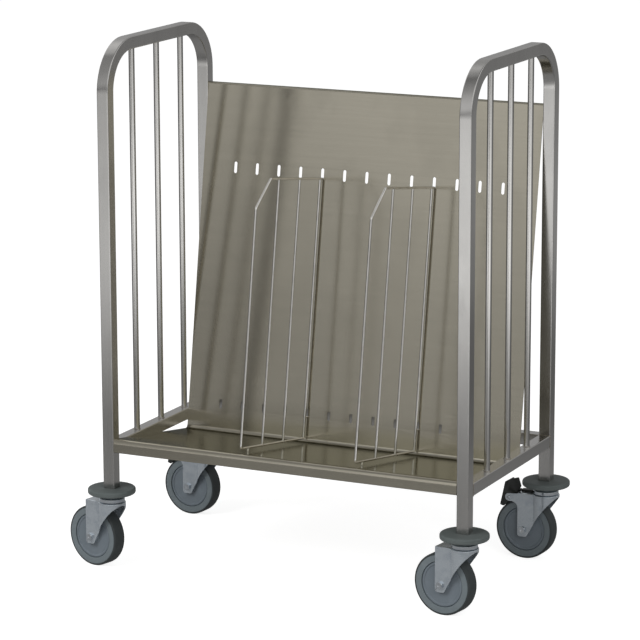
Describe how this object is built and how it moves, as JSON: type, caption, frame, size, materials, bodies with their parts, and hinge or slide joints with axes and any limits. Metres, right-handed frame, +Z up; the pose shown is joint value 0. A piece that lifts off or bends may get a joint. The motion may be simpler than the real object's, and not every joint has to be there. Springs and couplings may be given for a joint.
{
  "type": "plate dispenser cart",
  "caption": "Open stainless cart with bent tube ends, a folded rack with a sloped shelf and a slotted leaning back, lift-out wire dividers and swivel casters, the rear ones braked.",
  "frame": {"origin": "on the floor at the middle of the whole cart's footprint, casters included, as they stand", "axes": "+X along the cart's length to its right end, +Y to the back panel's side, +Z up"},
  "size_m": [0.9286, 0.522, 1.075],
  "materials": {
    "frame_steel": "satin brushed stainless tube",
    "rod_steel": "satin stainless rod",
    "sheet_steel": "fine brushed stainless sheet",
    "divider_wire": "polished wire",
    "bumper_rubber": "soft matt",
    "zinc_steel": "bright zinc plated",
    "fork_steel": "bright zinc plated, pressed",
    "hub_plastic": "satin moulded",
    "tyre_rubber": "matt grey, non-marking",
    "bush_plastic": "satin",
    "pedal_plastic": "satin black",
    "plug_plastic": "matt"
  },
  "bodies": {
    "frame": {"left_side_frame": "frame_steel", "left_side_rail": "frame_steel", "left_rod_front": "rod_steel", "left_rod_middle": "rod_steel", "left_rod_rear": "rod_steel", "right_side_frame": "frame_steel", "right_side_rail": "frame_steel", "right_rod_front": "rod_steel", "right_rod_middle": "rod_steel", "right_rod_rear": "rod_steel", "rear_cross_rail": "frame_steel", "rack_sheet": "sheet_steel", "panel_stiffener": "sheet_steel", "leg_plugs": "plug_plastic", "kingpins": "zinc_steel", "front_left_bumper": "bumper_rubber", "front_left_race_cup": "zinc_steel", "front_right_bumper": "bumper_rubber", "front_right_race_cup": "zinc_steel", "rear_left_bumper": "bumper_rubber", "rear_left_race_cup": "zinc_steel", "rear_right_bumper": "bumper_rubber", "rear_right_race_cup": "zinc_steel"},
    "front_left_swivel_body": {"front_left_fork": "fork_steel", "front_left_axle_bolt": "zinc_steel", "front_left_axle_nut": "zinc_steel", "front_left_axle_bush": "bush_plastic"},
    "front_left_wheel_body": {"front_left_hub": "hub_plastic", "front_left_tyre": "tyre_rubber"},
    "front_right_swivel_body": {"front_right_fork": "fork_steel", "front_right_axle_bolt": "zinc_steel", "front_right_axle_nut": "zinc_steel", "front_right_axle_bush": "bush_plastic"},
    "front_right_wheel_body": {"front_right_hub": "hub_plastic", "front_right_tyre": "tyre_rubber"},
    "rear_left_swivel_body": {"rear_left_fork": "fork_steel", "rear_left_axle_bolt": "zinc_steel", "rear_left_axle_nut": "zinc_steel", "rear_left_axle_bush": "bush_plastic", "rear_left_pedal_pin": "zinc_steel"},
    "rear_left_wheel_body": {"rear_left_hub": "hub_plastic", "rear_left_tyre": "tyre_rubber"},
    "rear_left_pedal_body": {"rear_left_brake_pedal": "pedal_plastic"},
    "rear_right_swivel_body": {"rear_right_fork": "fork_steel", "rear_right_axle_bolt": "zinc_steel", "rear_right_axle_nut": "zinc_steel", "rear_right_axle_bush": "bush_plastic", "rear_right_pedal_pin": "zinc_steel"},
    "rear_right_wheel_body": {"rear_right_hub": "hub_plastic", "rear_right_tyre": "tyre_rubber"},
    "rear_right_pedal_body": {"rear_right_brake_pedal": "pedal_plastic"},
    "left_divider_body": {"left_divider_outline": "divider_wire", "left_divider_bars": "divider_wire", "left_divider_foot": "divider_wire", "left_divider_lower_hook": "divider_wire"},
    "right_divider_body": {"right_divider_outline": "divider_wire", "right_divider_bars": "divider_wire", "right_divider_foot": "divider_wire", "right_divider_lower_hook": "divider_wire"}
  },
  "joints": [
    {"name": "front_left_swivel", "type": "hinge", "parent": "frame", "child": "front_left_swivel_body", "pos_m": [-0.3595, -0.2125, 0.1395], "axis": [0, 0, 1], "continuous": true},
    {"name": "front_left_wheel", "type": "hinge", "parent": "front_left_swivel_body", "child": "front_left_wheel_body", "pos_m": [-0.40042, -0.20305, 0.0625], "axis": [0.225, 0.9744, 0], "continuous": true},
    {"name": "front_right_swivel", "type": "hinge", "parent": "frame", "child": "front_right_swivel_body", "pos_m": [0.4155, -0.2125, 0.1395], "axis": [0, 0, 1], "continuous": true},
    {"name": "front_right_wheel", "type": "hinge", "parent": "front_right_swivel_body", "child": "front_right_wheel_body", "pos_m": [0.37391, -0.20666, 0.0625], "axis": [0.1392, 0.9903, 0], "continuous": true},
    {"name": "rear_left_swivel", "type": "hinge", "parent": "frame", "child": "rear_left_swivel_body", "pos_m": [-0.3595, 0.2125, 0.1395], "axis": [0, 0, 1], "continuous": true},
    {"name": "rear_left_wheel", "type": "hinge", "parent": "rear_left_swivel_body", "child": "rear_left_wheel_body", "pos_m": [-0.40134, 0.21616, 0.0625], "axis": [0.0872, 0.9962, 0], "continuous": true},
    {"name": "rear_left_brake", "type": "hinge", "parent": "rear_left_swivel_body", "child": "rear_left_pedal_body", "pos_m": [-0.43322, 0.21895, 0.1275], "axis": [0.0872, 0.9962, 0], "range_deg": [0, 12]},
    {"name": "rear_right_swivel", "type": "hinge", "parent": "frame", "child": "rear_right_swivel_body", "pos_m": [0.4155, 0.2125, 0.1395], "axis": [0, 0, 1], "continuous": true},
    {"name": "rear_right_wheel", "type": "hinge", "parent": "rear_right_swivel_body", "child": "rear_right_wheel_body", "pos_m": [0.37356, 0.2147, 0.0625], "axis": [0.0523, 0.9986, 0], "continuous": true},
    {"name": "rear_right_brake", "type": "hinge", "parent": "rear_right_swivel_body", "child": "rear_right_pedal_body", "pos_m": [0.3416, 0.21637, 0.1275], "axis": [0.0523, 0.9986, 0], "range_deg": [0, 12]},
    {"name": "left_divider_lift", "type": "slide", "parent": "frame", "child": "left_divider_body", "axis": [0, 0.1564, 0.9877], "range_m": [0, 0.013]},
    {"name": "right_divider_lift", "type": "slide", "parent": "frame", "child": "right_divider_body", "axis": [0, 0.1564, 0.9877], "range_m": [0, 0.013]}
  ]
}
